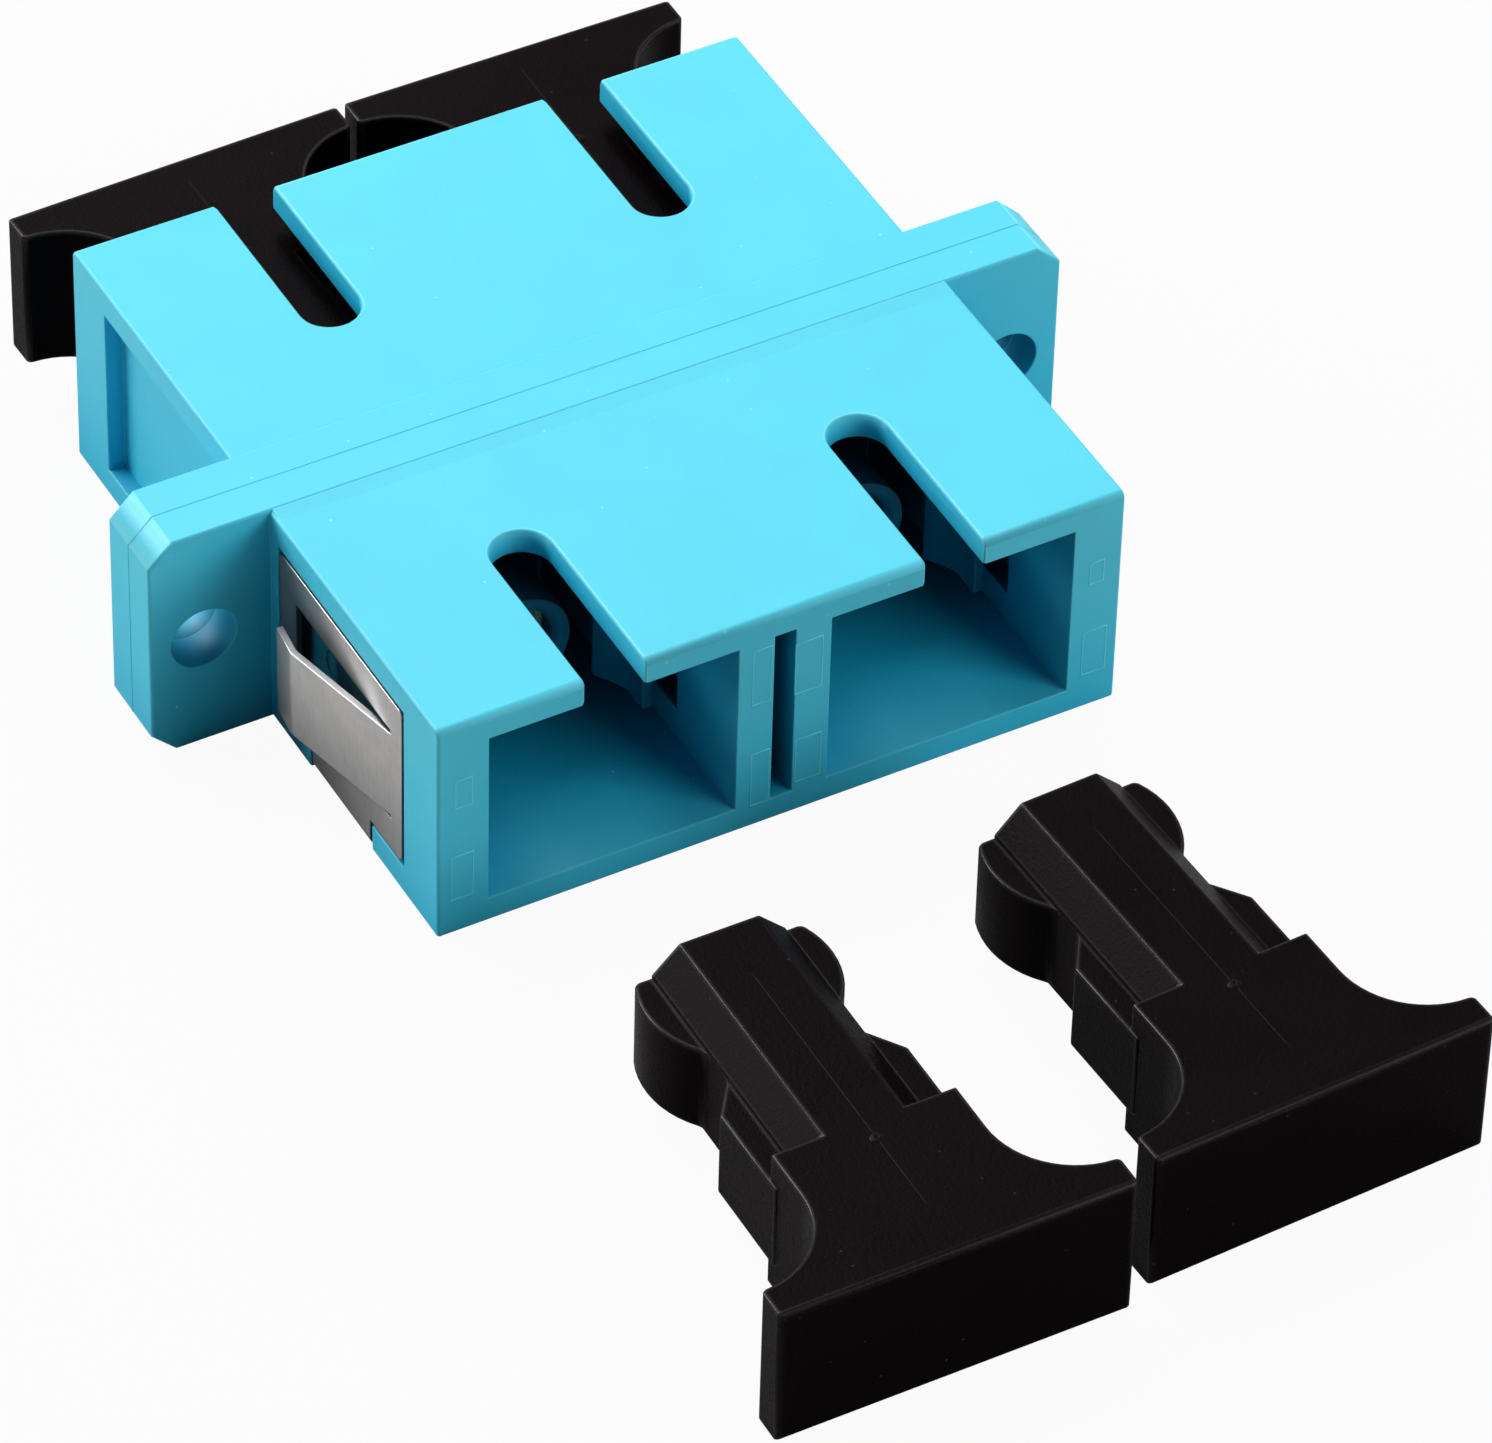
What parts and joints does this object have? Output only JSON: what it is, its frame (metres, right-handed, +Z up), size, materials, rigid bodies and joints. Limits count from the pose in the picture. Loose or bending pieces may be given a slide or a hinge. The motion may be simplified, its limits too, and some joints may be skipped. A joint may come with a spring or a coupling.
{
  "type": "sc fibre adapter",
  "caption": "Duplex SC fibre adapter with a screw flange, sprung panel clip, latch inserts and split sleeves, with push-in dust plugs fitted at the rear and lying loose in front.",
  "frame": {"origin": "on the underside of the body, on the weld line of the flange, midway between the two ports", "axes": "+X across the two ports, +Y through them from the front ports to the rear ports, +Z up from the underside to the key slots"},
  "size_m": [0.0346, 0.057, 0.0093],
  "materials": {
    "housing_plastic": "aqua moulded PBT, satin",
    "insert_plastic": "aqua moulded PBT, satin",
    "zirconia": "polished ceramic",
    "spring_steel": "satin stainless sheet",
    "plug_plastic": "black moulded plastic, satin"
  },
  "bodies": {
    "adapter": {"front_housing": "housing_plastic", "rear_housing": "housing_plastic", "latch_insert_front_left": "insert_plastic", "latch_insert_front_right": "insert_plastic", "latch_insert_rear_left": "insert_plastic", "latch_insert_rear_right": "insert_plastic", "split_sleeve_left": "zirconia", "split_sleeve_right": "zirconia", "panel_clip": "spring_steel", "dust_plug_loose_left": "plug_plastic", "dust_plug_loose_right": "plug_plastic"},
    "rear_plug_left": {"dust_plug_rear_left": "plug_plastic"},
    "rear_plug_right": {"dust_plug_rear_right": "plug_plastic"}
  },
  "joints": [
    {"name": "rear_plug_left_pull", "type": "slide", "parent": "adapter", "child": "rear_plug_left", "axis": [-0.0244, 0.9997, 0], "range_m": [0, 0.013]},
    {"name": "rear_plug_right_pull", "type": "slide", "parent": "adapter", "child": "rear_plug_right", "axis": [0.0052, 1, 0], "range_m": [0, 0.013]}
  ]
}
